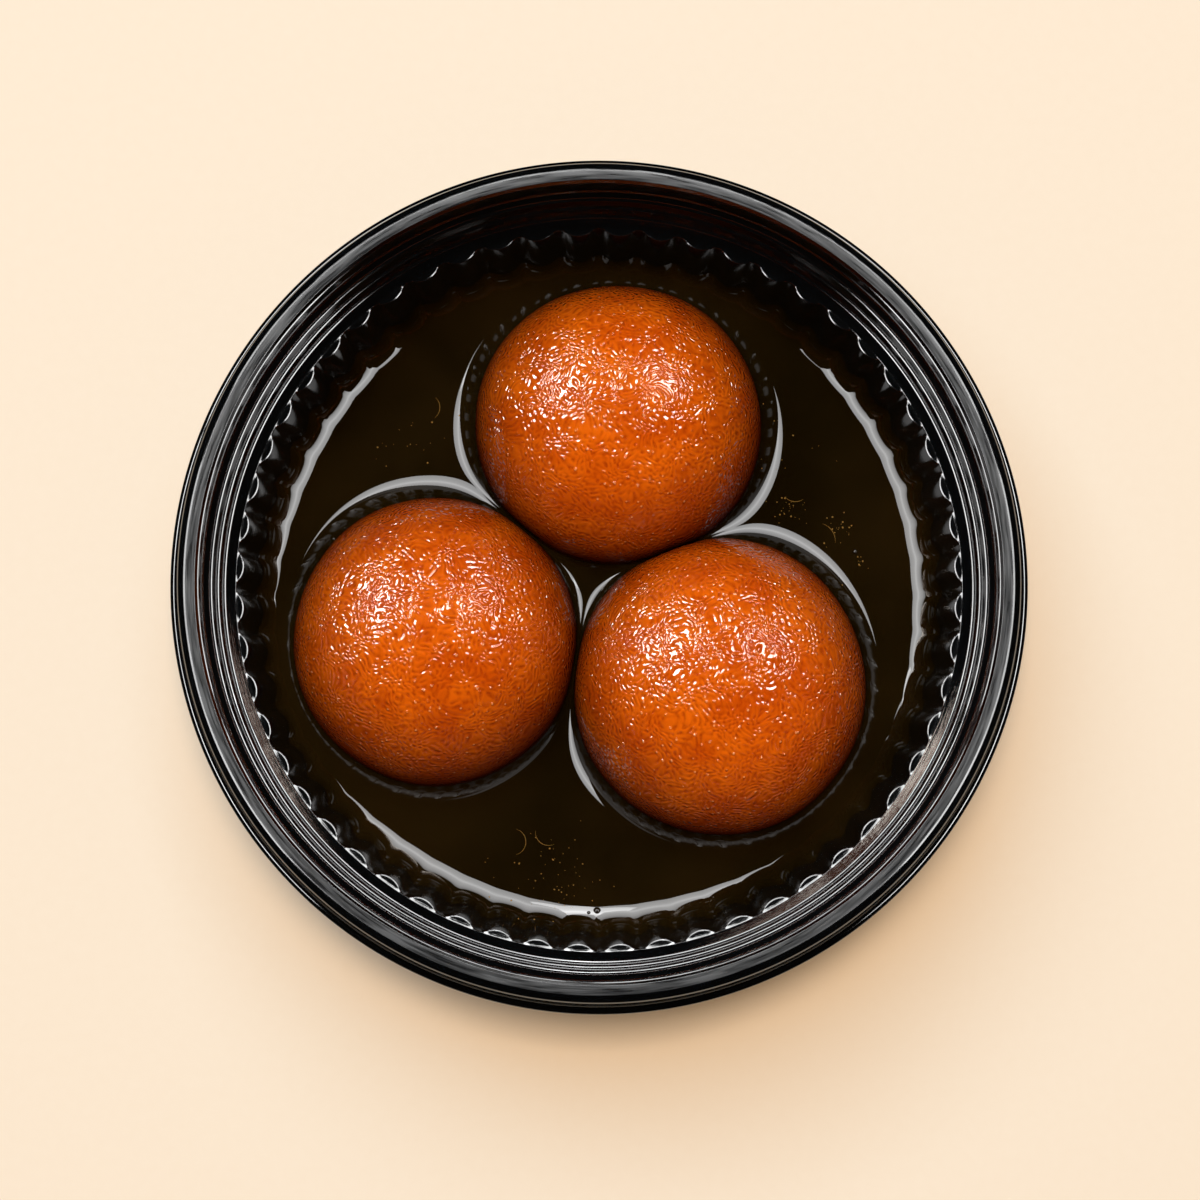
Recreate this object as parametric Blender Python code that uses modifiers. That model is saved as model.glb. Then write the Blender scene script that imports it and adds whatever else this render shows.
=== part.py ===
"""Gulab jamun in syrup, in a round fluted takeaway bowl.

Three soft fried balls lean on each other in a pool of thin syrup. The bowl is one moulded sheet: a
foot ring, a fluted wall, three narrow ledges, a rounded rim, and a skirt with a small lip outside it.
Units are metres, +Z is up, and the origin is the centre of the foot, on the table.
"""
import math

import bmesh
import bpy
from mathutils import Vector, noise
from mathutils.geometry import delaunay_2d_cdt

MM = 0.001
GAP = 0.3 * MM                  # clearance between pieces that rest against each other

# Bowl: overall sizes
LIP_RADIUS = 60.0 * MM
BOWL_HEIGHT = 46.0 * MM
SHEET = 0.8 * MM                # thickness of the moulded sheet

# Bowl: rim and skirt
CREST_RADIUS = 56.8 * MM
CREST_HALF_WIDTH = 0.75 * MM
CREST_SAG = 0.45 * MM           # how far the crest's two edges lie below its middle
RIM_FACE_TOP = (55.825 * MM, 44.65 * MM)  # radius and height, as in each pair below
SKIRT_TOP = (58.1 * MM, 44.4 * MM)
SKIRT_FOOT = (58.8 * MM, 40.5 * MM)
LIP_SHOULDER = (59.5 * MM, 39.7 * MM)
LIP_TOP = 39.0 * MM
LIP_THICKNESS = 0.6 * MM
GROOVE = ((58.0 * MM, 39.9 * MM), (57.3 * MM, 43.7 * MM), (56.9 * MM, 44.9 * MM))

# Bowl: ledges inside the rim, from the top one down
LEDGES = 3
LEDGE_RADIUS = 54.5 * MM        # foot of the rim's inner face
LEDGE_TOP = 39.6 * MM
LEDGE_WIDTH = 0.4 * MM
LEDGE_FALL = 0.12 * MM
LEDGE_DROP = 2.4 * MM           # wall between two ledges
LEDGE_DRAFT = 0.31 * MM         # how far that wall leans in

# Bowl: fluted wall, floor and foot
FLUTES = 56
STEPS_PER_FLUTE = 4
FLUTE_DEPTH_TOP = 1.0 * MM
FLUTE_DEPTH_FOOT = 0.6 * MM
FLUTED_SHARE = (-0.02, 1.005)   # part of the wall's height that the ribs cover
RIB_FULLNESS = 0.8              # below 1 the crests are broad and the valleys are narrow
FLUTE_CIRCLE = (51.4 * MM, 33.0 * MM)     # where the chamfer ends and the ribs start
WALL_TOP = (51.3 * MM, 32.7 * MM)
WALL_FOOT = (45.8 * MM, 5.8 * MM)
CORNER = (44.5 * MM, 3.2 * MM)
FLOOR_EDGE = (41.8 * MM, 1.6 * MM)
OUTER_CHAMFER = (52.28 * MM, 32.9 * MM)
OUTER_WALL_TOP = (52.1 * MM, 32.4 * MM)
OUTER_WALL_FOOT = (46.6 * MM, 5.6 * MM)
OUTER_CORNER = (45.22 * MM, 2.72 * MM)
BASE_RECESS = 0.8 * MM          # height of the base's underside above the table
RECESS_RADIUS = 39.4 * MM
FOOT_INNER_RADIUS = 40.2 * MM
FOOT_OUTER_RADIUS = 42.6 * MM

# Balls: name, centre x, centre y, radius along x, along y, along z, seed of the unevenness
BALLS = (
    ("gulab_jamun_back", 2.75 * MM, 24.5 * MM, 20.85 * MM, 20.3 * MM, 20.2 * MM, 3),
    ("gulab_jamun_left", -23.5 * MM, -6.8 * MM, 20.5 * MM, 20.85 * MM, 20.1 * MM, 11),
    ("gulab_jamun_right", 17.3 * MM, -13.4 * MM, 21.05 * MM, 21.4 * MM, 20.8 * MM, 27),
)
BALL_SEGMENTS = 22
BALL_RINGS = 12
UNEVENNESS = 0.012              # share of the radius
UNEVEN_SCALE = 1.3              # waves of unevenness per radius
SAG = 0.5 * MM                  # how far a soft ball flattens on the floor
PRESS_SOFTNESS = 0.4 * MM       # how gently a flattened spot rounds off

# Syrup
LEVEL = 19.0 * MM               # height of the flat part of the surface
CAPILLARY = 2.2 * MM            # length over which a meniscus dies away
MENISCUS_RISE = 2.9 * MM
WALL_RINGS = (1.3 * MM, 3.4 * MM)
BALL_RINGS_OUT = (-1.6 * MM, 0.9 * MM, 3.0 * MM)
RING_POINTS = 26
SURFACE_GRID = 7.0 * MM
CLEAR_OF_RINGS = 1.2 * MM
CLEAR_OF_EDGE = 0.5 * MM
CLEAR_OF_CORNER = 0.45 * MM
SYRUP_FLUTE_SHARE = 0.35        # the syrup fills the valleys between ribs only part of the way

# Looks: base colour, roughness and coat
FINISHES = {
    "black_plastic": ((0.006, 0.006, 0.006), 0.22, 0.0),
    "fried_dough": ((0.52, 0.11, 0.018), 0.3, 0.5),
    "syrup": ((0.02, 0.008, 0.002), 0.03, 0.0),
}

SHARP_EDGE = math.radians(35.0)
BALL_SHARP_EDGE = math.radians(60.0)
MERGE = 0.01 * MM               # points closer than this are one point
PART_COLLECTION = "gulab_jamun_bowl"
CUTTER_COLLECTION = "cutters"


def clear_scene():
    for obj in list(bpy.data.objects):
        bpy.data.objects.remove(obj, do_unlink=True)


def new_collection(name):
    collection = bpy.data.collections.new(name)
    bpy.context.scene.collection.children.link(collection)
    return collection


def principled(name):
    color, roughness, coat = FINISHES[name]
    material = bpy.data.materials.new(name)
    material.use_nodes = True
    shader = material.node_tree.nodes["Principled BSDF"]
    shader.inputs["Base Color"].default_value = (*color, 1.0)
    shader.inputs["Roughness"].default_value = roughness
    shader.inputs["Metallic"].default_value = 0.0
    shader.inputs["Coat Weight"].default_value = coat
    return material


def add_object(name, mesh, collection, material=None):
    obj = bpy.data.objects.new(name, mesh)
    collection.objects.link(obj)
    if material:
        mesh.materials.append(material)
    return obj


def mesh_from_bmesh(name, bm, sharp_edge=SHARP_EDGE):
    mesh = bpy.data.meshes.new(name)
    bm.to_mesh(mesh)
    bm.free()
    mesh.shade_smooth()
    mesh.set_sharp_from_angle(angle=sharp_edge)
    return mesh


# ---------------------------------------------------------------- bowl

def ledge_corners():
    """Radius and height of each ledge's outer and inner corner, from the top ledge down."""
    corners = []
    radius, height = LEDGE_RADIUS, LEDGE_TOP
    for _ in range(LEDGES):
        corners.append((radius, height))
        radius -= LEDGE_WIDTH
        height -= LEDGE_FALL
        corners.append((radius, height))
        radius -= LEDGE_DRAFT
        height -= LEDGE_DROP
    return corners


def inner_skin():
    """The inside of the bowl, from the middle of the floor up to the crest of the rim."""
    crest_edge = (CREST_RADIUS - CREST_HALF_WIDTH, BOWL_HEIGHT - CREST_SAG)
    return [
        (0.0, FLOOR_EDGE[1]), FLOOR_EDGE, CORNER, WALL_FOOT, WALL_TOP, FLUTE_CIRCLE,
        *reversed(ledge_corners()),
        RIM_FACE_TOP, crest_edge, (CREST_RADIUS, BOWL_HEIGHT),
    ]


def skirt():
    """Down the outside of the rim, round the lip and back up inside the skirt."""
    return [
        (CREST_RADIUS + CREST_HALF_WIDTH, BOWL_HEIGHT - CREST_SAG),
        SKIRT_TOP, SKIRT_FOOT, LIP_SHOULDER,
        (LIP_RADIUS, LIP_TOP), (LIP_RADIUS, LIP_TOP - LIP_THICKNESS),
        *GROOVE,
    ]


def outer_skin():
    """The outside of the wall, from the groove under the rim down to the middle of the base."""
    steps = [(radius + SHEET, height - SHEET) for radius, height in ledge_corners()]
    return [
        *steps,
        OUTER_CHAMFER, OUTER_WALL_TOP, OUTER_WALL_FOOT, OUTER_CORNER,
        (FOOT_OUTER_RADIUS, 0.0), (FOOT_INNER_RADIUS, 0.0),
        (RECESS_RADIUS, BASE_RECESS), (0.0, BASE_RECESS),
    ]


def flute_depth(height):
    """Depth of the ribs at a height, which is nothing above and below the fluted wall."""
    share = (height - WALL_FOOT[1]) / (WALL_TOP[1] - WALL_FOOT[1])
    if not FLUTED_SHARE[0] < share < FLUTED_SHARE[1]:
        return 0.0
    return FLUTE_DEPTH_FOOT + share * (FLUTE_DEPTH_TOP - FLUTE_DEPTH_FOOT)


def rib(angle):
    """Shape of the ribs round the wall: 0 in the valleys, 1 on the rounded crests."""
    return abs(math.sin(FLUTES * angle / 2)) ** RIB_FULLNESS


def turned_mesh(name, profile, steps):
    """The evaluated mesh of a profile, in radius and height, turned about the Z axis."""
    line = bpy.data.meshes.new(name + "_profile")
    edges = [(i, i + 1) for i in range(len(profile) - 1)]
    line.from_pydata([(radius, 0.0, height) for radius, height in profile], edges, [])
    source = add_object(name + "_profile", line, bpy.context.scene.collection)
    screw = source.modifiers.new("Turn", 'SCREW')
    screw.steps = steps
    screw.render_steps = steps
    screw.use_merge_vertices = True
    screw.merge_threshold = MERGE
    evaluated = source.evaluated_get(bpy.context.evaluated_depsgraph_get())
    mesh = bpy.data.meshes.new_from_object(evaluated)
    bpy.data.objects.remove(source, do_unlink=True)
    return mesh


def thin_plain_rings(bm):
    """Leave one vertex per flute on every ring that has no ribs."""
    steps = FLUTES * STEPS_PER_FLUTE
    rings = {}
    for vert in bm.verts:
        radius = math.hypot(vert.co.x, vert.co.y)
        if radius > MM and not flute_depth(vert.co.z):
            index = round(math.atan2(vert.co.y, vert.co.x) / math.tau * steps) % steps
            rings.setdefault((round(radius / MM, 3), round(vert.co.z / MM, 3)), {})[index] = vert
    targets = {}
    for ring in rings.values():
        for index, vert in ring.items():
            kept = round(index / STEPS_PER_FLUTE) * STEPS_PER_FLUTE % steps
            if kept != index:
                targets[vert] = ring[kept]
    bmesh.ops.weld_verts(bm, targetmap=targets)


def press_flutes(bm):
    """Push the fluted rings inwards to form the ribs."""
    for vert in bm.verts:
        depth = flute_depth(vert.co.z)
        radius = math.hypot(vert.co.x, vert.co.y)
        if depth and radius > MM:
            shrink = 1.0 - depth * rib(math.atan2(vert.co.y, vert.co.x)) / radius
            vert.co.x *= shrink
            vert.co.y *= shrink


def make_bowl(collection):
    profile = [*inner_skin(), *skirt(), *outer_skin()]
    turned = turned_mesh("bowl", profile, FLUTES * STEPS_PER_FLUTE)
    bm = bmesh.new()
    bm.from_mesh(turned)
    thin_plain_rings(bm)
    press_flutes(bm)
    bmesh.ops.triangulate(bm, faces=bm.faces)
    add_object("bowl", mesh_from_bmesh("bowl", bm), collection, principled("black_plastic"))


# ---------------------------------------------------------------- balls

def ball_centre(ball):
    _, x, y, _, _, tall, _ = ball
    return Vector((x, y, FLOOR_EDGE[1] + GAP + tall - SAG))


def mean_radius(ball):
    return (ball[3] + ball[4]) / 2


def pressed(point, plane_point, normal):
    """The point moved back along the normal where it would pass the plane, with a soft edge."""
    over = (point - plane_point).dot(normal)
    push = (over + math.hypot(over, PRESS_SOFTNESS)) / 2
    return point - normal * push


def ball_point(direction, ball, grow):
    """Surface point of an uneven ball that is flattened by the floor and by its neighbours."""
    centre = ball_centre(ball)
    size = Vector(ball[3:6])
    waves = noise.noise(direction * UNEVEN_SCALE + Vector((ball[6], 0.0, 0.0)))
    swell = 1.0 + UNEVENNESS * waves
    point = centre + Vector(d * s * swell for d, s in zip(direction, size)) + direction * grow
    floor = Vector((0.0, 0.0, FLOOR_EDGE[1] + GAP - grow))
    point = pressed(point, floor, Vector((0.0, 0.0, -1.0)))
    for other in BALLS:
        if other is not ball:
            between = ball_centre(other) - centre
            apart = between.length
            share = (apart ** 2 + mean_radius(ball) ** 2 - mean_radius(other) ** 2) / (2 * apart)
            normal = between.normalized()
            touch = centre + normal * (share - GAP / 2 + grow)
            point = pressed(point, touch, normal)
    return point


def ball_mesh(name, ball, grow=0.0):
    bm = bmesh.new()
    bmesh.ops.create_uvsphere(bm, u_segments=BALL_SEGMENTS, v_segments=BALL_RINGS, radius=1.0)
    for vert in bm.verts:
        vert.co = ball_point(vert.co.normalized(), ball, grow)
    bmesh.ops.triangulate(bm, faces=bm.faces)
    return mesh_from_bmesh(name, bm, BALL_SHARP_EDGE)


def make_balls(collection):
    brown = principled("fried_dough")
    for ball in BALLS:
        add_object(ball[0], ball_mesh(ball[0], ball), collection, brown)


# ---------------------------------------------------------------- syrup

def wall_radius(height):
    """Radius of the inner wall, in the valleys between ribs."""
    share = (height - WALL_FOOT[1]) / (WALL_TOP[1] - WALL_FOOT[1])
    return WALL_FOOT[0] + share * (WALL_TOP[0] - WALL_FOOT[0])


def distance_to_ball(x, y, ball):
    """Distance outside the ball's outline seen from above, negative inside it."""
    return math.hypot(x - ball[1], y - ball[2]) - mean_radius(ball)


def surface_height(x, y):
    """Height of the syrup, which climbs the wall and the balls in menisci."""
    edge = wall_radius(LEVEL + MENISCUS_RISE) - math.hypot(x, y)
    rise = math.exp(-max(edge, 0.0) / CAPILLARY)
    for ball in BALLS:
        rise += math.exp(-max(distance_to_ball(x, y, ball), 0.0) / CAPILLARY)
    return LEVEL + MENISCUS_RISE * math.tanh(rise)


def syrup_edge(height, inset=GAP):
    """Outline of the syrup at a height, which follows the ribs at a small clearance."""
    depth = flute_depth(height)
    outline = []
    for step in range(2 * FLUTES):
        share = 1.0 if step % 2 else SYRUP_FLUTE_SHARE
        radius = wall_radius(height) - inset - depth * share
        angle = math.pi * step / FLUTES
        outline.append(Vector((radius * math.cos(angle), radius * math.sin(angle))))
    return outline


def ring(centre_x, centre_y, radius, count):
    angles = (math.tau * step / count for step in range(count))
    return [Vector((centre_x + radius * math.cos(a), centre_y + radius * math.sin(a))) for a in angles]


def surface_points():
    """Points of the syrup's surface, in rings that run along the wall and round each ball."""
    top = LEVEL + MENISCUS_RISE
    limit = wall_radius(top) - FLUTE_DEPTH_TOP - GAP
    points = syrup_edge(top)
    candidates = []
    for ball in BALLS:
        candidates.append(Vector(ball[1:3]))
        for out in BALL_RINGS_OUT:
            candidates += ring(ball[1], ball[2], mean_radius(ball) + out, RING_POINTS)
    for inset in WALL_RINGS:
        candidates += ring(0.0, 0.0, limit - inset, FLUTES)
    reach = int(limit / SURFACE_GRID) + 1
    for i in range(-reach, reach + 1):
        for j in range(-reach, reach + 1):
            candidates.append(Vector(((i + 0.5 * (j % 2)) * SURFACE_GRID, j * SURFACE_GRID)))
    for point in candidates:
        spare = limit - point.length
        if spare > CLEAR_OF_EDGE and all((point - other).length > CLEAR_OF_RINGS for other in points):
            points.append(point)
    return points


def close_below(bm, loop):
    """Carry the surface's outline down the wall, round the corner and across the floor."""
    floor = FLOOR_EDGE[1] + GAP
    levels = (
        [point.to_3d() + Vector((0.0, 0.0, WALL_FOOT[1])) for point in syrup_edge(WALL_FOOT[1])],
        [p.to_3d() for p in ring(0.0, 0.0, CORNER[0] - CLEAR_OF_CORNER, 2 * FLUTES)],
        [p.to_3d() for p in ring(0.0, 0.0, FLOOR_EDGE[0] - GAP, 2 * FLUTES)],
    )
    heights = (None, CORNER[1] + GAP, floor)
    for coords, height in zip(levels, heights):
        below = [bm.verts.new(co if height is None else (co.x, co.y, height)) for co in coords]
        for step in range(len(loop)):
            following = (step + 1) % len(loop)
            bm.faces.new((loop[step], below[step], below[following], loop[following]))
        loop = below
    bm.faces.new(list(reversed(loop)))


def pool_mesh():
    """The syrup as one solid, before the balls are cut from it."""
    points = surface_points()
    outline = list(range(2 * FLUTES))
    coords, _, faces, origins, _, _ = delaunay_2d_cdt(points, [], [outline], 1, MERGE)
    bm = bmesh.new()
    verts = [bm.verts.new((p.x, p.y, surface_height(p.x, p.y))) for p in coords]
    for face in faces:
        bm.faces.new([verts[i] for i in face])
    place = {origin: vert for vert, sources in zip(verts, origins) for origin in sources}
    close_below(bm, [place[i] for i in outline])
    bmesh.ops.recalc_face_normals(bm, faces=bm.faces)
    bmesh.ops.triangulate(bm, faces=bm.faces)
    return mesh_from_bmesh("syrup", bm)


def make_syrup(collection, cutters):
    syrup = add_object("syrup", pool_mesh(), collection, principled("syrup"))
    for ball in BALLS:
        cutter = add_object("cut_" + ball[0], ball_mesh("cut_" + ball[0], ball, GAP), cutters)
        cutter.display_type = 'WIRE'
        cutter.hide_render = True
        cut = syrup.modifiers.new("Cut", 'BOOLEAN')
        cut.operation = 'DIFFERENCE'
        cut.solver = 'EXACT'
        cut.object = cutter


def main():
    clear_scene()
    parts = new_collection(PART_COLLECTION)
    cutters = new_collection(CUTTER_COLLECTION)
    make_bowl(parts)
    make_balls(parts)
    make_syrup(parts, cutters)


main()
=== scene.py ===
"""Looks of the gulab jamun: three balls in syrup, in a fluted black takeaway bowl.

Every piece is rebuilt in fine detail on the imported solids. Lengths are in metres, +Z is up, and the
origin is the centre of the foot, on the table.
"""

import math
import random

import bpy
import numpy as np
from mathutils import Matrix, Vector, noise
from mathutils.geometry import delaunay_2d_cdt


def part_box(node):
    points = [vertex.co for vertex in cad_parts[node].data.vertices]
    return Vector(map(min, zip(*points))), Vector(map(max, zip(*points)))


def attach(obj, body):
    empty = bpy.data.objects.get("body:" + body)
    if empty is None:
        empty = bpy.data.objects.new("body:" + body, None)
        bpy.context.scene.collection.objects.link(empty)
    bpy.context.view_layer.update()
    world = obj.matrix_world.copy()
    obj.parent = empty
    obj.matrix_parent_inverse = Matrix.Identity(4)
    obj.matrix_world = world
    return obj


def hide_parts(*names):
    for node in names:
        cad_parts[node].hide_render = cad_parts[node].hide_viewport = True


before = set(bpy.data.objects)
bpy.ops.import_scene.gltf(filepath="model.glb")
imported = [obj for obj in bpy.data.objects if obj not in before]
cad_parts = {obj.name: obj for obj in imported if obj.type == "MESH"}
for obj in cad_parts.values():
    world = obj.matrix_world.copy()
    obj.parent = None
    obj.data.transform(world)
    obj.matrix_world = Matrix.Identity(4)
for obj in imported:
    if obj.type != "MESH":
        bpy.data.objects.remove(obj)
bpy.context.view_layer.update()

MM = 0.001
BALL_NODES = ("gulab_jamun_back", "gulab_jamun_left", "gulab_jamun_right")
GAP = 0.3 * MM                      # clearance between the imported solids

LIP_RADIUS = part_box("bowl")[1].x
BOWL_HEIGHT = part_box("bowl")[1].z


# ---------------------------------------------------------------- mesh helpers

def add_piece(name, verts, faces, material, replaces=None):
    """A smooth mesh object that rides on the body and takes its finish from a slot."""
    mesh = bpy.data.meshes.new(name)
    mesh.from_pydata(np.asarray(verts).tolist(), [], faces)
    mesh.validate()
    mesh.shade_smooth()
    mesh.materials.append(material)
    piece = bpy.data.objects.new(name, mesh)
    bpy.context.scene.collection.objects.link(piece)
    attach(piece, "root")
    if replaces:
        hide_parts(replaces)
    return piece


def ring_faces(lower, upper):
    """Quads between two closed rings of vertex numbers."""
    count = len(lower)
    return [(lower[i], lower[(i + 1) % count], upper[(i + 1) % count], upper[i])
            for i in range(count)]


# ---------------------------------------------------------------- bowl

FLUTES = 56
STEPS_PER_FLUTE = 12
RIB_FLAT = 1                        # steps of plain wall on each side of a valley's middle
RIB_DEPTH_TOP = 1.0 * MM
RIB_DEPTH_FOOT = 0.6 * MM
# bevel along a rib's flat top, as steps back and down from its edge in millimetres
RIB_EDGE = ((0.0, 0.22), (0.03, 0.09), (0.045, 0.0825), (0.165, 0.0225), (0.18, 0.015), (0.22, 0.0))
WALL_TOP = (51.3, 33.34)
WALL_FOOT = (45.8, 5.8)
RIB_START = 3.6                     # height where the ribs rise from the corner of the floor

# radius, height and corner radius along the bowl's section, in millimetres
FLOOR = [(0.0, 1.6, 0.0), (14.0, 1.6, 0.0), (28.0, 1.6, 0.0), (41.8, 1.6, 2.0), (44.5, 3.2, 2.0)]
CHAMFER = [(51.4, 33.4, 0.03), (52.64, 34.36, 0.05)]
LEDGE_FEET = [(53.08, 34.56), (53.79, 37.08), (54.5, 39.6)]
LEDGE_SHAPE = [(-0.40, -0.09, 0.03), (-0.25, -0.02, 0.04), (0.0, 0.0, 0.05)]
LEDGES = [(r + dr, z + dz, corner) for r, z in LEDGE_FEET for dr, dz, corner in LEDGE_SHAPE]
RIM = [
    (54.56, 39.68, 0.05), (55.28, 40.22, 0.1), (55.46, 44.86, 0.03), (55.62, 44.93, 0.05),
    (55.86, 45.9, 0.05), (55.95, 45.96, 0.05),
    (56.6, 46.0, 0.0), (57.2, 45.96, 0.05), (57.46, 45.85, 0.05), (58.24, 45.38, 0.05),
]
SKIRT = [
    (58.42, 45.0, 0.2), (58.72, 41.0, 0.2), (58.98, 39.82, 0.02), (59.42, 39.53, 0.01),
    (59.52, 39.50, 0.01), (59.94, 39.22, 0.02), (60.0, 39.05, 0.03), (60.0, 38.5, 0.15),
    (59.7, 38.4, 0.1), (58.1, 39.9, 0.4), (57.6, 43.7, 0.4), (56.9, 44.9, 0.2),
]
OUTSIDE_STEPS = [
    (55.3, 38.8, 0.3), (54.9, 38.68, 0.2), (54.59, 36.28, 0.3), (54.19, 36.16, 0.2),
    (53.88, 33.76, 0.3), (53.48, 33.64, 0.2), (52.28, 32.9, 0.2),
]
FOOT = [
    (45.22, 2.72, 2.0), (42.6, 0.15, 0.15), (42.45, 0.0, 0.1), (40.3, 0.0, 0.15), (39.4, 0.8, 0.3),
    (20.0, 0.8, 0.0), (0.0, 0.8, 0.0),
]
CORNER_STEPS = 3


def rounded(points):
    """The points of a section with each corner that has a radius turned into an arc."""
    result = []
    for i, (radius, height, corner) in enumerate(points):
        here = np.array((radius, height))
        if corner == 0.0 or i in (0, len(points) - 1):
            result.append(here)
            continue
        back, ahead = np.array(points[i - 1][:2]) - here, np.array(points[i + 1][:2]) - here
        short = 0.45 * min(np.linalg.norm(back), np.linalg.norm(ahead))
        back, ahead = back / np.linalg.norm(back), ahead / np.linalg.norm(ahead)
        half = math.acos(max(-1.0, min(1.0, float(back @ ahead)))) / 2
        reach = min(corner / math.tan(half), short)
        middle = (back + ahead) / np.linalg.norm(back + ahead)
        centre = here + middle * reach / math.cos(half)
        start, end = here + back * reach - centre, here + ahead * reach - centre
        turn = math.pi - 2 * half
        for step in range(CORNER_STEPS + 1):
            share = step / CORNER_STEPS
            weight = (math.sin((1 - share) * turn), math.sin(share * turn))
            result.append(centre + (start * weight[0] + end * weight[1]) / math.sin(turn))
    return [tuple(point) for point in result]


def rib_depth(height):
    """How far the ribs stand in from the wall at a height in millimetres."""
    low, high = WALL_FOOT[1], WALL_TOP[1]
    share = (height - low) / (high - low)
    depth = RIB_DEPTH_FOOT + share * (RIB_DEPTH_TOP - RIB_DEPTH_FOOT)
    rise = (height - RIB_START) / (low - RIB_START)
    return depth * min(max(rise, 0.0), 1.0)


def rib_shape(angle):
    """0 on the plain wall between ribs, and 1 on the crest of each rib."""
    flat = RIB_FLAT / STEPS_PER_FLUTE
    across = (np.asarray(angle) / math.tau * FLUTES) % 1.0
    share = np.clip((across - flat) / (1.0 - 2.0 * flat), 0.0, 1.0)
    return 4.0 * share * (1.0 - share)


def bowl_rows():
    """Radius, height, rib depth and rib cut-back of each ring of the bowl, in metres."""
    rows = [(r, z, 0.0, 0.0) for r, z in rounded(FLOOR + [(*WALL_FOOT, 2.0)])[:-1]]
    lean = (WALL_TOP[0] - WALL_FOOT[0]) / (WALL_TOP[1] - WALL_FOOT[1])
    heights = [WALL_FOOT[1], *np.linspace(8.0, WALL_TOP[1] - 0.5, 9)]
    rows = [(r, z, rib_depth(z), 0.0) if z > RIB_START else (r, z, 0.0, 0.0) for r, z, _, _ in rows]
    rows += [(WALL_FOOT[0] + (z - WALL_FOOT[1]) * lean, z, rib_depth(z), 0.0) for z in heights]
    rows += [(WALL_TOP[0], WALL_TOP[1] - drop, RIB_DEPTH_TOP, back * MM) for back, drop in RIB_EDGE]
    upper = rounded([(WALL_TOP[0], WALL_TOP[1], 0.0), *CHAMFER, *LEDGES, *RIM, *SKIRT, *OUTSIDE_STEPS,
                     (52.1, 32.4, 0.0)])[1:]
    rows += [(r, z, 0.0, 0.0) for r, z in upper[:-1]]
    for z in np.linspace(32.4, 5.6, 9):
        rows.append((WALL_FOOT[0] + 0.8 + (z + 0.2 - WALL_FOOT[1]) * lean, z, rib_depth(z + 0.2), 0.0))
    rows += [(r, z, 0.0, 0.0) for r, z in rounded([(46.6, 5.6, 0.0), *FOOT])[1:]]
    return [(r * MM, z * MM, depth, cut) for r, z, depth, cut in rows]


def join_rings(before, after):
    """Faces between two rings of the section, which may have one, some or twice as many points."""
    few, many = sorted((before, after), key=len)
    if len(few) == len(many):
        return ring_faces(after, before)
    if len(few) == 1:
        faces = [(few[0], many[i], many[(i + 1) % len(many)]) for i in range(len(many))]
    else:
        faces = [(few[(i + 1) % len(few)], few[i], many[2 * i], many[2 * i + 1],
                  many[(2 * i + 2) % len(many)]) for i in range(len(few))]
    return faces if many is after else [face[::-1] for face in faces]


def make_bowl(material):
    """The moulded bowl, with twice as many points on the fluted rings as on the plain ones."""
    verts, rings, faces = [], [], []
    for radius, height, depth, cut in bowl_rows():
        count = FLUTES * STEPS_PER_FLUTE // (1 if depth else 2)
        if radius < 1e-6:
            count = 1
        angles = np.arange(count) / count * math.tau
        inner = radius - np.maximum(depth * rib_shape(angles) - cut, 0.0)
        rings.append(list(range(len(verts), len(verts) + count)))
        verts.extend(np.column_stack((inner * np.cos(angles), inner * np.sin(angles),
                                      np.full(count, height))).tolist())
    for before, after in zip(rings, rings[1:]):
        faces += join_rings(before, after)
    return add_piece("bowl_moulded", verts, faces, material, "bowl")


# ---------------------------------------------------------------- balls

UNEVENNESS = 0.012
UNEVEN_SCALE = 1.3
SAG = 0.5 * MM
PRESS_SOFTNESS = 0.4 * MM
FLOOR_TOP = 1.6 * MM
# centre x, y, radius along x, y, z, seed of the unevenness
BALLS = {
    "gulab_jamun_back": (2.75, 24.5, 20.85, 20.3, 20.2, 3),
    "gulab_jamun_left": (-23.5, -6.8, 20.5, 20.85, 20.1, 11),
    "gulab_jamun_right": (17.3, -13.4, 21.05, 21.4, 20.8, 27),
}
CAP_GRID = 270                      # cells along a side of the grid laid over a ball
CAP_ANGLE = math.radians(112.0)     # how far down from the top that grid reaches
LOWER_RINGS = 6

# height and wavelength of each layer of unevenness on a ball's skin
SKIN_LAYERS = ((0.06 * MM, 8.0 * MM), (0.022 * MM, 2.6 * MM), (0.014 * MM, 1.25 * MM))


def ball_centre(ball):
    x, y, _, _, tall, _ = ball
    return np.array((x * MM, y * MM, FLOOR_TOP + GAP + tall * MM - SAG))


def mean_radius(ball):
    return (ball[2] + ball[3]) / 2 * MM


def pressed(points, plane_point, normal):
    """The points moved back along the normal where they would pass the plane, with a soft edge."""
    over = (points - plane_point) @ normal
    push = (over + np.hypot(over, PRESS_SOFTNESS)) / 2
    return points - push[:, None] * normal


def noise_values(points, seed):
    offset = Vector((seed, 0.0, 0.0))
    return np.array([noise.noise(Vector(p) + offset) for p in points.tolist()])


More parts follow.
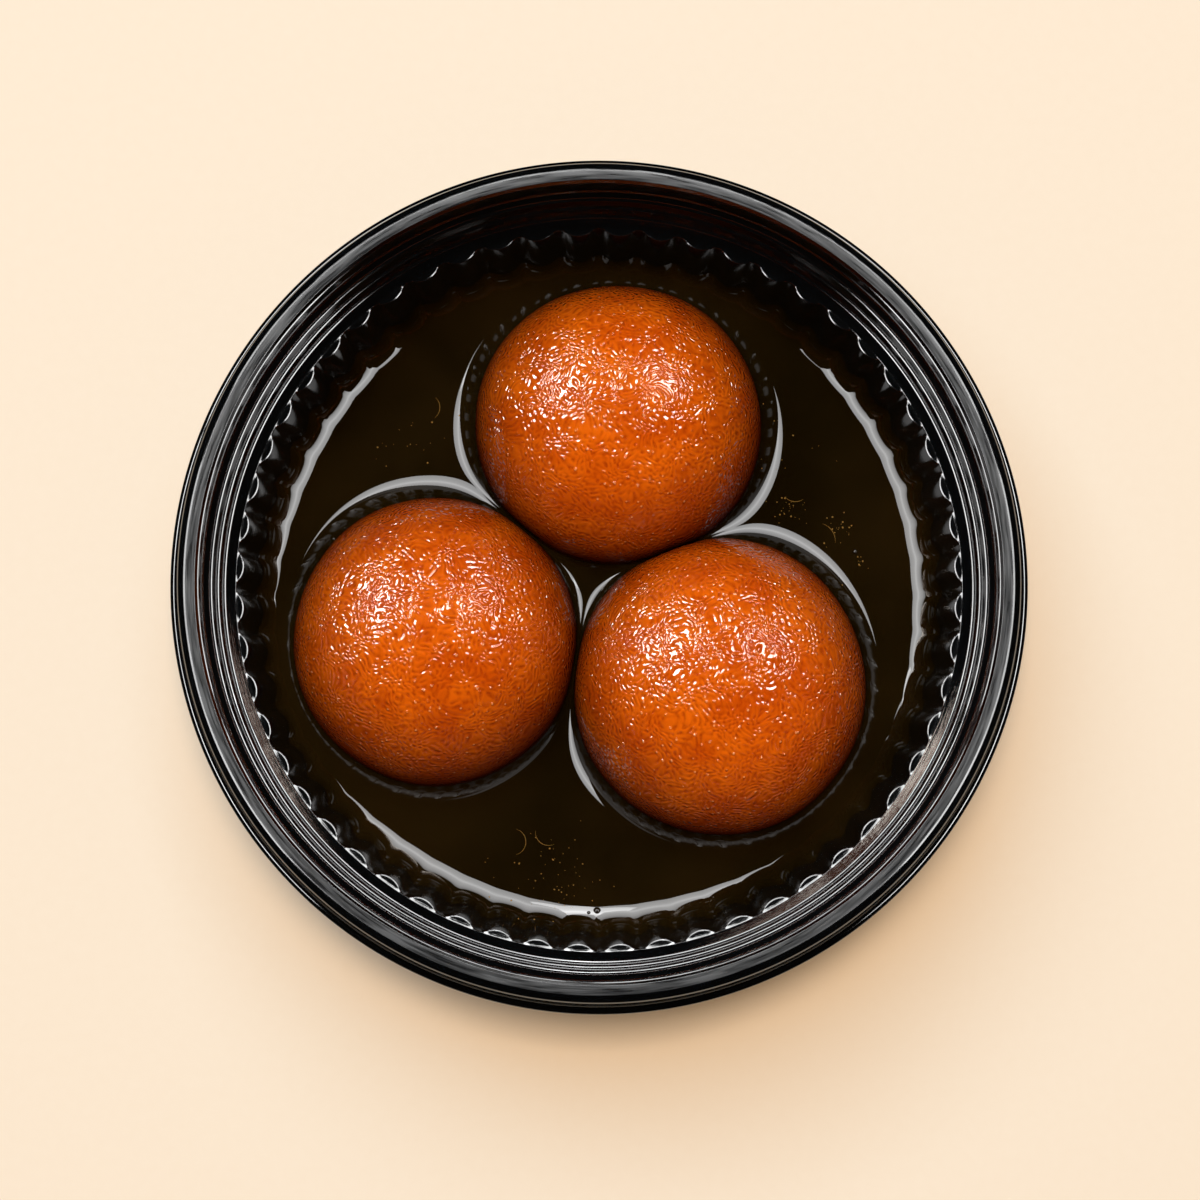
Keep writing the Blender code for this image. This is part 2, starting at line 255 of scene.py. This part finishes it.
def ball_points(directions, ball, grow=0.0):
    """Surface points of an uneven ball, flattened by the floor and by its neighbours."""
    centre = ball_centre(ball)
    size = np.array(ball[2:5]) * MM
    swell = 1.0 + UNEVENNESS * noise_values(directions * UNEVEN_SCALE, ball[5])
    points = centre + directions * size * swell[:, None] + directions * grow
    points = pressed(points, np.array((0.0, 0.0, FLOOR_TOP + GAP - grow)), np.array((0.0, 0.0, -1.0)))
    for other in BALLS.values():
        if other is ball:
            continue
        between = ball_centre(other) - centre
        apart = np.linalg.norm(between)
        share = (apart ** 2 + mean_radius(ball) ** 2 - mean_radius(other) ** 2) / (2 * apart)
        normal = between / apart
        points = pressed(points, centre + normal * (share - GAP / 2 + grow), normal)
    return points


def skin_relief(directions, ball):
    """Height of the wrinkles on a ball's skin."""
    relief = np.zeros(len(directions))
    for layer, (height, wavelength) in enumerate(SKIN_LAYERS):
        scaled = directions * (mean_radius(ball) / wavelength)
        relief += height * noise_values(scaled, ball[5] * 7.0 + layer * 31.0)
    return relief


def cap_directions(cells):
    """Unit vectors of a square grid laid evenly over a cap, row by row."""
    side = np.linspace(-1.0, 1.0, cells + 1)
    u, v = np.meshgrid(side, side)
    u, v = u.ravel(), v.ravel()
    wide = np.abs(u) > np.abs(v)
    radius = np.where(wide, u, v)
    safe_u, safe_v = np.where(u == 0, 1.0, u), np.where(v == 0, 1.0, v)
    angle = np.where(wide, math.pi / 4 * v / safe_u, math.pi / 2 - math.pi / 4 * u / safe_v)
    height = 1.0 - radius ** 2 * (1.0 - math.cos(CAP_ANGLE))
    flat = np.sqrt(np.maximum(1.0 - height ** 2, 0.0)) * np.sign(radius)
    return np.stack((flat * np.cos(angle), flat * np.sin(angle), height), axis=1)


def grid_border(cells):
    """Vertex numbers round the edge of the grid, anticlockwise seen from above."""
    row = cells + 1
    bottom = [i for i in range(cells)]
    right = [i * row + cells for i in range(cells)]
    top = [cells * row + cells - i for i in range(cells)]
    left = [(cells - i) * row for i in range(cells)]
    return bottom + right + top + left


def make_ball(name, ball, material):
    directions = cap_directions(CAP_GRID)
    row = CAP_GRID + 1
    faces = [(j * row + i, j * row + i + 1, (j + 1) * row + i + 1, (j + 1) * row + i)
             for j in range(CAP_GRID) for i in range(CAP_GRID)]
    border = grid_border(CAP_GRID)
    around = np.arctan2(directions[border, 1], directions[border, 0])
    loop, total = border, len(directions)
    lower = []
    for ring in range(1, LOWER_RINGS + 1):
        polar = CAP_ANGLE + (math.pi - CAP_ANGLE) * ring / (LOWER_RINGS + 1)
        lower.append(np.stack((math.sin(polar) * np.cos(around), math.sin(polar) * np.sin(around),
                               np.full(len(around), math.cos(polar))), axis=1))
        following = list(range(total, total + len(border)))
        faces += ring_faces(following, loop)
        loop, total = following, total + len(border)
    directions = np.vstack((directions, *lower, (0.0, 0.0, -1.0)))
    faces += [(loop[(i + 1) % len(loop)], loop[i], total) for i in range(len(loop))]
    points = ball_points(directions, ball)
    shown = np.clip((directions[:, 2] + 0.55) / 0.3, 0.0, 1.0)
    points += directions * (skin_relief(directions, ball) * shown)[:, None]
    return add_piece(name + "_skin", points, faces, material, name)


# ---------------------------------------------------------------- syrup

LEVEL = 19.0 * MM
BALL_CAPILLARY = 2.7 * MM           # length that sets how far a meniscus climbs and spreads
WALL_CAPILLARY = 4.1 * MM
CONTACT_TILT = math.radians(70.0)   # slope of the syrup where it meets a ball or the wall
BEYOND_CONTACT = 0.6 * MM           # how far past its contact the surface goes on rising
BEYOND_SLOPE = 1.2
RIB_FADE = 1160.0                   # how fast the ribs' waves die away from the wall, per metre
SURFACE_STEP = 0.3 * MM
INTO_WALL = 0.4 * MM
INTO_BALL = 0.7 * MM
PIT_POINTS = 420
EDGE_CLEAR = 0.22 * MM
TABLE_STEPS = 400
SIDE_LEVELS = (17.0, 12.0, 5.8)     # heights of the rings down the side of the pool, in millimetres
SIDE_FOOT = ((44.7, 3.1), (41.9, 1.5), (28.0, 1.5), (14.0, 1.5))
PIT_ANGLES = (98.0, 112.0, 126.0, 140.0, 154.0, 166.0)


def meniscus_table():
    """Distance from the contact and height above the level, for a capillary length of 1."""
    tilt = np.linspace(CONTACT_TILT, 1e-4, TABLE_STEPS)
    height = 2.0 * np.sin(tilt / 2)

    def reach(h):
        return np.arccosh(2.0 / h) - np.sqrt(4.0 - h ** 2)

    distance = reach(height) - reach(height[0])
    return distance, height


MENISCUS = meniscus_table()
CONTACT_HEIGHT = LEVEL + float(MENISCUS[1][0]) * WALL_CAPILLARY


def wall_radius(height):
    """Radius of the inner wall between ribs, in metres."""
    share = (height / MM - WALL_FOOT[1]) / (WALL_TOP[1] - WALL_FOOT[1])
    return (WALL_FOOT[0] + share * (WALL_TOP[0] - WALL_FOOT[0])) * MM


def wall_distance(x, y):
    """Distance inside the fluted wall at the height where the syrup meets it."""
    inside = wall_radius(CONTACT_HEIGHT) - np.hypot(x, y)
    depth = rib_depth(CONTACT_HEIGHT / MM)
    waves = rib_shape(np.arctan2(y, x)) * np.exp(-RIB_FADE * np.maximum(inside - depth, 0.0))
    return inside - depth * waves


def outline_tables():
    """Radius of each ball's outline against the angle round it, seen from above."""
    angles = np.linspace(-math.pi, math.pi, 361)
    level = np.stack((np.cos(angles), np.sin(angles), np.full(361, 0.04)), axis=1)
    level /= np.linalg.norm(level, axis=1)[:, None]
    tables = []
    for ball in BALLS.values():
        offset = ball_points(level, ball) - ball_centre(ball)
        found = np.arctan2(offset[:, 1], offset[:, 0])
        order = np.argsort(found)
        tables.append((ball_centre(ball), found[order], np.hypot(offset[:, 0], offset[:, 1])[order]))
    return tables


OUTLINES = outline_tables()


def ball_distance(x, y, outline):
    centre, angles, radii = outline
    dx, dy = x - centre[0], y - centre[1]
    return np.hypot(dx, dy) - np.interp(np.arctan2(dy, dx), angles, radii, period=math.tau)


def surface_height(x, y):
    """Height of the syrup, which climbs the wall and the balls."""
    still, nearest = np.ones_like(x), np.full_like(x, 1.0)
    total, scale = np.zeros_like(x), np.zeros_like(x)
    edges = [(wall_distance(x, y), WALL_CAPILLARY)]
    edges += [(ball_distance(x, y, outline), BALL_CAPILLARY) for outline in OUTLINES]
    for distance, capillary in edges:
        near = np.exp(-np.maximum(distance, 1e-9) / capillary)
        still *= 1.0 - near
        total += near
        scale += near * capillary
        nearest = np.minimum(nearest, distance)
    climb = np.interp(-np.log(1.0 - still), *MENISCUS) * scale / np.maximum(total, 1e-12)
    return LEVEL + climb + np.clip(-nearest, 0.0, BEYOND_CONTACT) * BEYOND_SLOPE


def syrup_loops():
    """Outlines of the surface: one just inside the wall's skin, and one inside each ball."""
    count = FLUTES * STEPS_PER_FLUTE
    angles = np.arange(count) / count * math.tau
    depth = rib_depth(CONTACT_HEIGHT / MM)
    radius = wall_radius(CONTACT_HEIGHT) - depth * rib_shape(angles) + INTO_WALL
    loops = [np.stack((radius * np.cos(angles), radius * np.sin(angles)), axis=1)]
    for centre, found, radii in OUTLINES:
        angles = np.arange(PIT_POINTS) / PIT_POINTS * math.tau - math.pi
        radius = np.interp(angles, found, radii, period=math.tau) - INTO_BALL
        loops.append(centre[:2] + np.stack((radius * np.cos(angles), radius * np.sin(angles)), axis=1))
    return loops


def surface_grid():
    """Points of a square grid that lie on the syrup, clear of its outlines."""
    reach = wall_radius(CONTACT_HEIGHT)
    side = np.arange(-reach, reach, SURFACE_STEP)
    x, y = (a.ravel() for a in np.meshgrid(side, side))
    keep = wall_distance(x, y) > EDGE_CLEAR - INTO_WALL
    for outline in OUTLINES:
        keep &= ball_distance(x, y, outline) > EDGE_CLEAR - INTO_BALL
    return np.stack((x[keep], y[keep]), axis=1)


def side_rings():
    """Rings that carry the pool's outer edge down the wall and in across the floor."""
    count = FLUTES * STEPS_PER_FLUTE
    angles = np.arange(count) / count * math.tau
    rings = []
    for z in SIDE_LEVELS:
        radius = wall_radius(z * MM) - rib_depth(z) * rib_shape(angles) + INTO_WALL
        rings.append((radius, z * MM))
    rings += [(np.full(count, radius * MM), z * MM) for radius, z in SIDE_FOOT]
    return [np.column_stack((radius * np.cos(angles), radius * np.sin(angles), np.full(count, z)))
            for radius, z in rings]


def pit_rings(ball):
    """Rings that carry the edge of the surface down inside the lower half of a ball."""
    angles = np.arange(PIT_POINTS) / PIT_POINTS * math.tau - math.pi
    rings = []
    for polar in np.radians(PIT_ANGLES):
        directions = np.column_stack((math.sin(polar) * np.cos(angles), math.sin(polar) * np.sin(angles),
                                      np.full(PIT_POINTS, math.cos(polar))))
        rings.append(ball_points(directions, ball, -INTO_BALL))
    return rings


def close_pool(verts, faces, edge, rings, outside):
    """Carry one edge of the surface down over its rings, and close the last one."""
    for points in rings:
        start = sum(len(v) for v in verts)
        ring = list(range(start, start + len(points)))
        faces += ring_faces(ring, edge) if outside else ring_faces(edge, ring)
        verts.append(points)
        edge = ring
    last = rings[-1].mean(axis=0)
    tip = sum(len(v) for v in verts)
    verts.append(last[None, :])
    pairs = zip(edge, edge[1:] + edge[:1])
    faces += [(tip, b, a) if outside else (tip, a, b) for a, b in pairs]


def make_syrup(material):
    """The pool as one closed solid: its surface, its side and floor, and a pit for each ball."""
    loops = syrup_loops()
    flat = np.vstack((*loops, surface_grid()))
    starts = np.cumsum([0] + [len(loop) for loop in loops])
    edges = []
    for start, loop in zip(starts, loops):
        edges += [(start + i, start + (i + 1) % len(loop)) for i in range(len(loop))]
    coords, _, triangles, sources, _, _ = delaunay_2d_cdt(
        [Vector(p) for p in flat.tolist()], edges, [], 0, 1e-7)
    xy = np.array([tuple(c) for c in coords])
    middles = xy[np.array(triangles)].mean(axis=1)
    keep = wall_distance(middles[:, 0], middles[:, 1]) > -INTO_WALL
    for outline in OUTLINES:
        keep &= ball_distance(middles[:, 0], middles[:, 1], outline) > -INTO_BALL
    faces = [tuple(t) for t, k in zip(triangles, keep) if k]
    place = {source: i for i, found in enumerate(sources) for source in found}
    verts = [np.column_stack((xy, surface_height(xy[:, 0], xy[:, 1])))]
    borders = [[place[start + i] for i in range(len(loop))] for start, loop in zip(starts, loops)]
    close_pool(verts, faces, borders[0], side_rings(), outside=True)
    for border, node in zip(borders[1:], BALLS):
        close_pool(verts, faces, border, pit_rings(BALLS[node]), outside=False)
    return add_piece("syrup_pool", np.vstack(verts), faces, material, "syrup")


# ---------------------------------------------------------------- crumbs and bubbles

# clusters of golden crumbs that float on the syrup: centre x, y, spread and number, in millimetres
CRUMB_CLUSTERS = (
    (28.0, 12.5, 2.2, 26), (34.5, 9.6, 2.4, 22), (37.3, 5.6, 1.6, 8), (-9.0, -44.0, 7.5, 30),
    (-4.0, -42.5, 5.0, 26), (24.0, 22.0, 7.0, 20), (-26.0, 24.0, 6.0, 12), (-6.0, -36.0, 6.0, 18),
    (30.0, 0.0, 7.0, 8), (-31.0, 20.0, 5.0, 6),
)
CRUMB_SIZES = (0.05, 0.15)          # radius of the smallest and largest crumb, in millimetres
# swirling fibres: start x, y, length, heading and turn in degrees, in millimetres
FIBRES = ((-12.0, -37.5, 5.0, 20, 150), (-6.5, -36.0, 4.0, 200, -120), (27.0, 14.5, 3.0, -50, 90),
          (32.5, 10.5, 3.6, -20, -80), (-24.0, 26.0, 3.4, 40, 100))
FIBRE_RADIUS = 0.018 * MM
FIBRE_STEPS = 14
BUBBLES = ((-0.3, -45.6, 0.42), (37.2, 6.4, 0.34), (-1.5, -45.9, 0.22), (-38.4, 8.0, 0.26))
BUBBLE_RINGS = 6
BUBBLE_SIDES = 24


def floating_height(x, y):
    return float(surface_height(np.array([x]), np.array([y]))[0])


def on_open_syrup(x, y, margin=0.5 * MM):
    """Whether a place is clear of the wall and of the balls."""
    x, y = np.array([x]), np.array([y])
    return wall_distance(x, y)[0] > margin and all(ball_distance(x, y, o)[0] > margin for o in OUTLINES)


def add_crumb(verts, faces, place, size, chance):
    """A rough grain with eight sides, pressed flat on the surface."""
    start = len(verts)
    turn = chance.uniform(0.0, math.tau)
    for i in range(6):
        angle = turn + i * math.pi / 3
        reach = size * chance.uniform(0.6, 1.3)
        verts.append((place[0] + reach * math.cos(angle), place[1] + reach * math.sin(angle),
                      place[2] + size * chance.uniform(0.0, 0.25)))
    verts += [(place[0], place[1], place[2] + size * 0.7), (place[0], place[1], place[2] - size * 0.4)]
    for i in range(6):
        a, b = start + i, start + (i + 1) % 6
        faces += [(start + 6, a, b), (start + 7, b, a)]


def add_fibre(verts, faces, fibre):
    """A thin curling strand that lies on the surface."""
    x, y, length, heading, turn = fibre
    x, y = x * MM, y * MM
    rings = []
    for step in range(FIBRE_STEPS + 1):
        share = step / FIBRE_STEPS
        angle = math.radians(heading + turn * share)
        side = Vector((-math.sin(angle), math.cos(angle), 0.0))
        centre = Vector((x, y, floating_height(x, y)))
        thick = FIBRE_RADIUS * (0.35 + math.sin(math.pi * share))
        rings.append(list(range(len(verts), len(verts) + 6)))
        for i in range(6):
            around = i * math.pi / 3
            verts.append(tuple(centre + (side * math.cos(around) + Vector((0, 0, math.sin(around)))) * thick))
        x += math.cos(angle) * length / FIBRE_STEPS * MM
        y += math.sin(angle) * length / FIBRE_STEPS * MM
    for before, after in zip(rings, rings[1:]):
        faces += ring_faces(after, before)
    faces += [tuple(rings[0]), tuple(reversed(rings[-1]))]


def make_crumbs(material):
    chance = random.Random(7)
    verts, faces = [], []
    for x, y, spread, number in CRUMB_CLUSTERS:
        for _ in range(number):
            place = [chance.gauss(x, spread / 2) * MM, chance.gauss(y, spread / 2) * MM]
            size = CRUMB_SIZES[0] + (CRUMB_SIZES[1] - CRUMB_SIZES[0]) * chance.random() ** 3
            if on_open_syrup(*place):
                add_crumb(verts, faces, (*place, floating_height(*place)), size * MM, chance)
    for fibre in FIBRES:
        add_fibre(verts, faces, fibre)
    return add_piece("floating_crumbs", verts, faces, material)


def make_bubbles(material):
    """Small domes of syrup with a raised rim where they meet the surface."""
    verts, faces = [], []
    for x, y, radius in BUBBLES:
        x, y, radius = x * MM, y * MM, radius * MM
        foot = floating_height(x, y) - 0.05 * MM
        profile = [(1.0, -0.5), (1.35, 0.0), (1.12, 0.22)]
        profile += [(math.cos(a), 0.2 + math.sin(a) * 0.75) for a in np.linspace(0.25, 1.35, BUBBLE_RINGS)]
        rings = []
        for reach, rise in profile:
            rings.append(list(range(len(verts), len(verts) + BUBBLE_SIDES)))
            for i in range(BUBBLE_SIDES):
                angle = math.tau * i / BUBBLE_SIDES
                verts.append((x + radius * reach * math.cos(angle), y + radius * reach * math.sin(angle),
                              foot + radius * rise))
        for below, above in zip(rings, rings[1:]):
            faces += ring_faces(below, above)
        verts += [(x, y, foot + radius * 0.96), (x, y, foot - radius * 0.5)]
        top, bottom = len(verts) - 2, len(verts) - 1
        faces += [(top, a, b) for a, b in zip(rings[-1], rings[-1][1:] + rings[-1][:1])]
        faces += [(bottom, b, a) for a, b in zip(rings[0], rings[0][1:] + rings[0][:1])]
    return add_piece("syrup_bubbles", verts, faces, material)


# ---------------------------------------------------------------- materials

GOLDEN_ANGLE = 2.39996


class Nodes:
    """A material's node tree, with short ways to add and join nodes."""

    def __init__(self, name):
        self.material = bpy.data.materials.new(name)
        self.material.use_nodes = True
        self.tree = self.material.node_tree
        self.shader = self.tree.nodes["Principled BSDF"]

    def add(self, kind, settings=None, **inputs):
        node = self.tree.nodes.new("ShaderNode" + kind)
        for key, value in (settings or {}).items():
            setattr(node, key, value)
        for key, value in inputs.items():
            self.put(node.inputs[key.replace("_", " ")], value)
        return node

    def put(self, socket, value):
        if isinstance(value, bpy.types.NodeSocket):
            self.tree.links.new(value, socket)
        else:
            socket.default_value = value

    def set(self, name, value):
        self.put(self.shader.inputs[name], value)

    def math(self, operation, a, b=0.0):
        node = self.add("Math", {"operation": operation})
        self.put(node.inputs[0], a)
        self.put(node.inputs[1], b)
        return node.outputs[0]

    def place(self):
        """Position on the object, in millimetres."""
        spot = self.add("TexCoord").outputs["Object"]
        return self.add("VectorMath", {"operation": 'SCALE'}, Vector=spot, Scale=1000.0).outputs[0]

    def noise(self, vector, scale, detail=0.0, roughness=0.5):
        return self.add("TexNoise", Vector=vector, Scale=scale, Detail=detail,
                        Roughness=roughness).outputs["Fac"]

    def span(self, value, low, high, to_low=0.0, to_high=1.0):
        node = self.add("MapRange", From_Min=low, From_Max=high, To_Min=to_low, To_Max=to_high)
        self.put(node.inputs["Value"], value)
        return node.outputs["Result"]

    def mix(self, factor, first, second):
        node = self.add("Mix", {"data_type": 'RGBA'})
        self.put(node.inputs["Factor"], factor)
        self.put(node.inputs[6], first)
        self.put(node.inputs[7], second)
        return node.outputs[2]

    def waves(self, vector, wavelength, count, turn=0.0):
        """A maze of ridges: plane waves of one length that run in many directions, from -1 to 1."""
        total = None
        for i in range(count):
            height = 1.0 - (i + 0.5) / count
            flat, around = math.sqrt(1.0 - height * height), GOLDEN_ANGLE * i + turn
            along = Vector((flat * math.cos(around), flat * math.sin(around), height))
            dot = self.add("VectorMath", {"operation": 'DOT_PRODUCT'}, Vector=vector)
            self.put(dot.inputs[1], along * (math.tau / wavelength))
            phase = self.math('ADD', dot.outputs["Value"], 5.0 * i * i + turn)
            wave = self.math('SINE', phase)
            total = wave if total is None else self.math('ADD', total, wave)
        return self.math('MULTIPLY', total, 1.0 / math.sqrt(count))

    def bump(self, height, distance, strength=1.0, normal=None):
        node = self.add("Bump", Strength=strength, Distance=distance, Height=height)
        if normal:
            self.put(node.inputs["Normal"], normal)
        return node.outputs["Normal"]


def rgb(r, g, b):
    """A linear colour from display values of 0 to 255."""
    def linear(v):
        v /= 255.0
        return v / 12.92 if v <= 0.04045 else ((v + 0.055) / 1.055) ** 2.4
    return (linear(r), linear(g), linear(b), 1.0)


def plastic_material():
    n = Nodes("black_plastic")
    place = n.place()
    split = n.add("SeparateXYZ", Vector=place)
    x, y, z = split.outputs
    radius = n.math('SQRT', n.math('ADD', n.math('MULTIPLY', x, x), n.math('MULTIPLY', y, y)))
    turned = n.add("CombineXYZ")
    n.put(turned.inputs[0], n.math('MULTIPLY', n.math('DIVIDE', x, radius), 9.0))
    n.put(turned.inputs[1], n.math('MULTIPLY', n.math('DIVIDE', y, radius), 9.0))
    n.put(turned.inputs[2], n.math('MULTIPLY', n.math('ADD', z, radius), 3.0))
    streaks = n.noise(turned.outputs[0], 1.0, 3.0)
    crest = n.span(z, 45.90, 45.94)
    satin = n.math('MULTIPLY', crest, n.span(streaks, 0.35, 0.65, 0.20, 0.38))
    rough = n.math('ADD', n.span(streaks, 0.3, 0.7, 0.05, 0.10), satin)
    rough = n.math('ADD', rough, n.span(z, 33.36, 33.30, 0.0, 0.08))
    n.set("Base Color", n.mix(streaks, (0.0008, 0.0008, 0.0008, 1), (0.0022, 0.0022, 0.0023, 1)))
    n.set("Roughness", rough)
    n.set("IOR", 1.6)
    n.set("Normal", n.bump(streaks, 0.00002, 0.6))
    return n.material


def dough_material():
    n = Nodes("fried_dough")
    place = n.place()
    z = n.add("SeparateXYZ", Vector=place).outputs["Z"]
    blotch = n.noise(place, 0.16, 2.0)
    fine = n.noise(place, 2.6, 1.0)
    bend = n.add("TexNoise", Vector=place, Scale=0.22, Detail=1.0).outputs["Color"]
    bend = n.add("VectorMath", {"operation": 'SCALE'}, Vector=bend, Scale=5.0).outputs[0]
    bent = n.add("VectorMath", {"operation": 'ADD'}, Vector=place)
    n.put(bent.inputs[1], bend)
    maze = n.waves(bent.outputs[0], 0.78, 9)
    relief = n.math('MULTIPLY', maze, 0.058)
    dots = n.add("TexVoronoi", Vector=place, Scale=0.8).outputs["Distance"]
    pimple = n.span(n.math('MULTIPLY', dots, dots), 0.06, 0.0, 0.0, 0.17)
    relief = n.math('ADD', relief, pimple)
    colour = n.mix(n.span(blotch, 0.35, 0.65), (0.50, 0.064, 0.0014, 1), (0.66, 0.108, 0.0024, 1))
    # Painted shade: the skin's colour darkens in the valleys of the wrinkles, where shade would fall.
    valley_shade = n.math('MULTIPLY', n.span(maze, 0.4, -1.2), n.span(fine, 0.25, 0.7, 0.3, 0.8))
    tone_and_painted_light = n.mix(valley_shade, colour, (0.30, 0.026, 0.0006, 1))
    # Painted glints: pale specks at the tops of the pimples stand in for small highlights.
    tone_and_painted_light = n.mix(n.span(dots, 0.16, 0.07, 0.0, 0.55), tone_and_painted_light, (0.95, 0.42, 0.14, 1))
    # Painted shade: the skin darkens to near black towards the bottom, near the syrup, in place of the light
    # falling off towards the ball's edges.
    n.set("Base Color", n.mix(n.span(z, 23.5, 39.2), (0.04, 0.003, 0.0001, 1), tone_and_painted_light))
    n.set("Roughness", 0.5)
    n.set("Specular IOR Level", 0.0)
    n.set("Normal", n.bump(relief, 0.0006, 1.0))
    n.set("Coat Weight", n.span(z, 25.0, 33.0, 0.15, 1.0))
    n.set("Coat Roughness", 0.045)
    n.set("Coat IOR", 1.45)
    n.set("Coat Normal", n.bump(relief, 0.0009, 1.0))
    return n.material


def crumb_material():
    n = Nodes("golden_crumb")
    grain = n.noise(n.place(), 6.0, 2.0)
    n.set("Base Color", n.mix(grain, (0.20, 0.085, 0.012, 1), (0.62, 0.34, 0.075, 1)))
    n.set("Roughness", 0.45)
    n.set("Normal", n.bump(grain, 0.00002, 0.5))
    return n.material


def syrup_material():
    n = Nodes("syrup")
    place = n.place()
    clouds = n.noise(place, 0.05, 3.0)
    n.set("Base Color", n.mix(n.span(clouds, 0.35, 0.65), (0.005, 0.0024, 0.0003, 1),
                              (0.011, 0.0052, 0.0009, 1)))
    n.set("Roughness", 0.02)
    n.set("IOR", 1.35)
    return n.material


# ---------------------------------------------------------------- stage

FLOOR_HALF = 6.0


def make_floor():
    n = Nodes("paper")
    grain = n.noise(n.place(), 0.6, 4.0)
    n.set("Base Color", n.mix(grain, rgb(243, 227, 205), rgb(245, 230, 209)))
    n.set("Roughness", 0.9)
    n.set("Specular IOR Level", 0.1)
    mesh = bpy.data.meshes.new("floor")
    s = FLOOR_HALF
    mesh.from_pydata([(-s, -s, 0), (s, -s, 0), (s, s, 0), (-s, s, 0)], [], [(0, 1, 2, 3)])
    mesh.materials.append(n.material)
    floor = bpy.data.objects.new("floor", mesh)
    bpy.context.scene.collection.objects.link(floor)


def add_light(name, azimuth, polar, distance, size, radiance, colour=(1, 1, 1), diffuse=True,
              glossy=True):
    """A square lamp, or a rectangle for a pair of sizes, that faces the bowl."""
    wide, tall = size if isinstance(size, tuple) else (size, size)
    data = bpy.data.lights.new(name, 'AREA')
    data.shape = 'RECTANGLE'
    data.size, data.size_y = wide, tall
    data.energy = radiance * math.pi * wide * tall
    data.color = colour
    lamp = bpy.data.objects.new(name, data)
    a, p = math.radians(azimuth), math.radians(polar)
    away = Vector((math.cos(a) * math.sin(p), math.sin(a) * math.sin(p), math.cos(p)))
    lamp.location = away * distance
    lamp.rotation_mode = 'QUATERNION'
    lamp.rotation_quaternion = (-away).to_track_quat('-Z', 'Y')
    lamp.visible_camera = False
    lamp.visible_diffuse = diffuse
    lamp.visible_glossy = glossy
    bpy.context.scene.collection.objects.link(lamp)
    return lamp


def fade_edges(lamp):
    """A softbox that is brightest along its middle and fades towards its upper and lower edge."""
    lamp.data.use_nodes = True
    tree = lamp.data.node_tree
    split = tree.nodes.new("ShaderNodeSeparateXYZ")
    tree.links.new(tree.nodes.new("ShaderNodeNewGeometry").outputs["Parametric"], split.inputs[0])
    ramp = tree.nodes.new("ShaderNodeValToRGB")
    for element, (place, value) in zip([ramp.color_ramp.elements.new(0.5) for _ in BOX_FADE], BOX_FADE):
        element.position, element.color = place, (value, value, value, 1)
    tree.links.new(split.outputs["Y"], ramp.inputs[0])
    tree.links.new(ramp.outputs[0], tree.nodes["Emission"].inputs["Strength"])


BOX_FADE = ((0.0, 0.35), (0.25, 0.75), (0.5, 1.0), (0.62, 1.35), (0.75, 1.0), (1.0, 0.8))


def make_lights(mirrors, balls):
    soft = {"glossy": False}
    shine = {"diffuse": False}
    add_light("sky", 112, 19, 1.6, 1.15, 4.95, (0.45, 0.73, 1.0), **soft)
    add_light("top", 90, 2, 1.6, 0.3, 62.0, (1.0, 0.715, 0.45), **soft)
    fill = add_light("fill", 95, 45, 1.6, 0.8, 4.2, (1.0, 0.95, 0.85), **soft)
    fill.light_linking.receiver_collection = balls
    warm = (1.0, 0.92, 0.82)
    for name, azimuth, polar, radiance in (("left", 146.5, 52.3, 52), ("right", 40.6, 45.5, 35)):
        core = add_light("core_" + name, azimuth, polar, 1.6, 0.62, radiance, warm, **shine)
        core.light_linking.receiver_collection = balls
    for name, azimuth in (("left_back", 118), ("left", 186), ("right_back", 58), ("right", -8)):
        box = add_light("box_" + name, azimuth, 43.5, 1.6, (1.35, 0.72), 15, **shine)
        box.light_linking.receiver_collection = mirrors
        fade_edges(box)


def make_world():
    world = bpy.data.worlds.new("studio")
    world.use_nodes = True
    bpy.context.scene.world = world
    back = world.node_tree.nodes["Background"]
    back.inputs["Color"].default_value = (1.0, 0.75, 0.5, 1)
    back.inputs["Strength"].default_value = 0.13
    world.cycles_visibility.glossy = False


def make_camera():
    data = bpy.data.cameras.new("camera")
    data.sensor_width = 36.0
    data.lens = 113.03
    data.clip_start, data.clip_end = 0.01, 20.0
    camera = bpy.data.objects.new("camera", data)
    camera.location = (0.000126, -0.04827, 0.56402)
    aim = Vector((0.000126, -0.00295, 0.046)) - camera.location
    camera.rotation_mode = 'QUATERNION'
    camera.rotation_quaternion = aim.to_track_quat('-Z', 'Y')
    bpy.context.scene.collection.objects.link(camera)
    bpy.context.scene.camera = camera


def group(name, members):
    collection = bpy.data.collections.new(name)
    for member in members:
        collection.objects.link(member)
    return collection


dough = dough_material()
balls = [make_ball(node, BALLS[node], dough) for node in BALL_NODES]
syrup = syrup_material()
mirrors = [make_bowl(plastic_material()), make_syrup(syrup), make_bubbles(syrup)]
make_crumbs(crumb_material())
make_floor()
make_lights(group("bowl_and_syrup", mirrors), group("balls", balls))
make_world()
make_camera()
bpy.context.scene.view_settings.view_transform = 'Standard'
